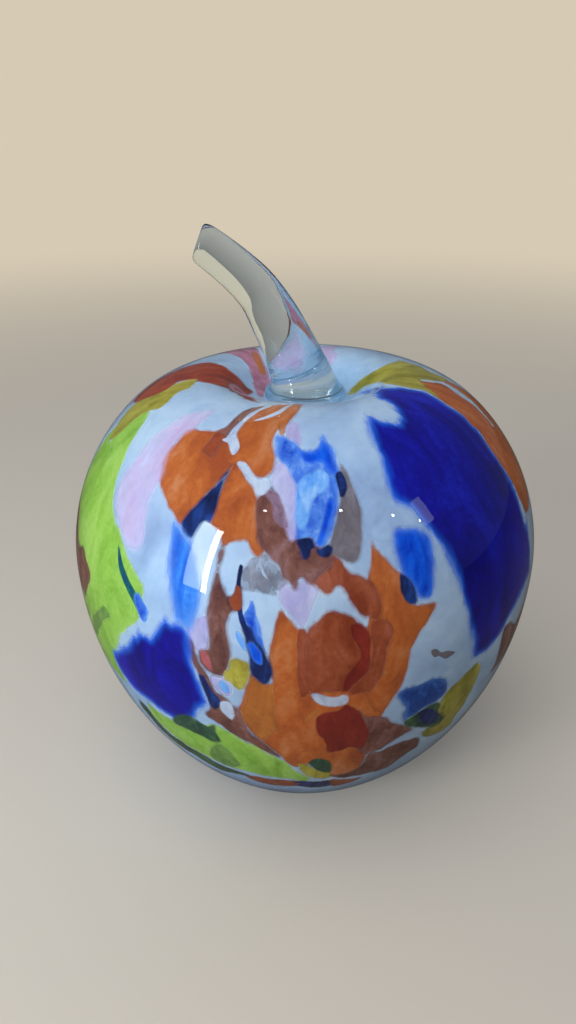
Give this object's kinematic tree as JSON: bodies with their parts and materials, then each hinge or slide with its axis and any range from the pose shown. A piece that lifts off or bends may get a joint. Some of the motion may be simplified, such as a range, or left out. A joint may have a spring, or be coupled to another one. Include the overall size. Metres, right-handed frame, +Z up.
{
  "type": "art glass apple paperweight",
  "caption": "Blown glass apple with colour shards on an opal white bubble, cased in clear glass, with a leaning clear stem.",
  "frame": {"origin": "centre of the ground base, on the surface that it stands on", "axes": "+Z up along the apple's axis, -Y towards the front, -X towards the side the stem leans to"},
  "size_m": [0.18, 0.18, 0.2203],
  "materials": {
    "clear_casing_glass": "clear glass, polished by the fire",
    "clear_stem_glass": "clear glass with a trace of blue",
    "cobalt_glass": "cobalt blue glass",
    "brown_glass": "red-brown glass",
    "green_glass": "dark green glass",
    "red_glass": "deep red glass",
    "grey_glass": "smoke grey glass",
    "lilac_glass": "lilac glass",
    "lime_glass": "lime green glass",
    "navy_glass": "blue-black glass",
    "olive_glass": "olive glass",
    "orange_glass": "bright orange glass",
    "pink_glass": "pink glass",
    "teal_glass": "teal glass",
    "yellow_glass": "yellow glass",
    "white_opal_glass": "opal white glass"
  },
  "bodies": {
    "root": {"clear_casing": "clear_casing_glass", "neck_seal": "clear_stem_glass", "shard_blue_back_left": "cobalt_glass", "shard_blue_band_left": "cobalt_glass", "shard_blue_chip_right": "cobalt_glass", "shard_blue_flame": "cobalt_glass", "shard_blue_low_right": "cobalt_glass", "shard_blue_mottled_top": "cobalt_glass", "shard_brown_centre": "brown_glass", "shard_brown_far_left": "brown_glass", "shard_brown_far_right": "brown_glass", "shard_brown_streak_top": "brown_glass", "shard_cobalt_back": "cobalt_glass", "shard_cobalt_low_left": "cobalt_glass", "shard_cobalt_right": "cobalt_glass", "shard_dark_green_low_left": "green_glass", "shard_dark_green_low_right": "green_glass", "shard_dark_strand_low_left": "brown_glass", "shard_deep_red_low": "red_glass", "shard_deep_red_mid": "red_glass", "shard_grey_smoke": "grey_glass", "shard_lilac_back": "lilac_glass", "shard_lilac_strip": "lilac_glass", "shard_lime_back": "lime_glass", "shard_lime_left": "lime_glass", "shard_lime_low_left": "lime_glass", "shard_navy_teardrop": "navy_glass", "shard_navy_wedge_left": "navy_glass", "shard_olive_band_left": "olive_glass", "shard_olive_right": "olive_glass", "shard_olive_streak_right": "olive_glass", "shard_orange_back": "orange_glass", "shard_orange_field_low": "orange_glass", "shard_orange_mid_left": "orange_glass", "shard_orange_right": "orange_glass", "shard_orange_streak_right": "orange_glass", "shard_orange_top": "orange_glass", "shard_orange_upper_left": "orange_glass", "shard_pink_back": "pink_glass", "shard_pink_streak_back": "pink_glass", "shard_pink_veil_left": "pink_glass", "shard_purple_brown_left": "brown_glass", "shard_red_back": "red_glass", "shard_red_brown_low_right": "brown_glass", "shard_red_brown_ridge": "brown_glass", "shard_rust_band": "red_glass", "shard_rust_square": "red_glass", "shard_taupe_right": "grey_glass", "shard_teal_sliver_left": "teal_glass", "shard_yellow_back": "yellow_glass", "shard_yellow_chip": "yellow_glass", "shard_yellow_low": "yellow_glass", "stem": "clear_stem_glass", "white_bubble": "white_opal_glass"}
  },
  "joints": []
}
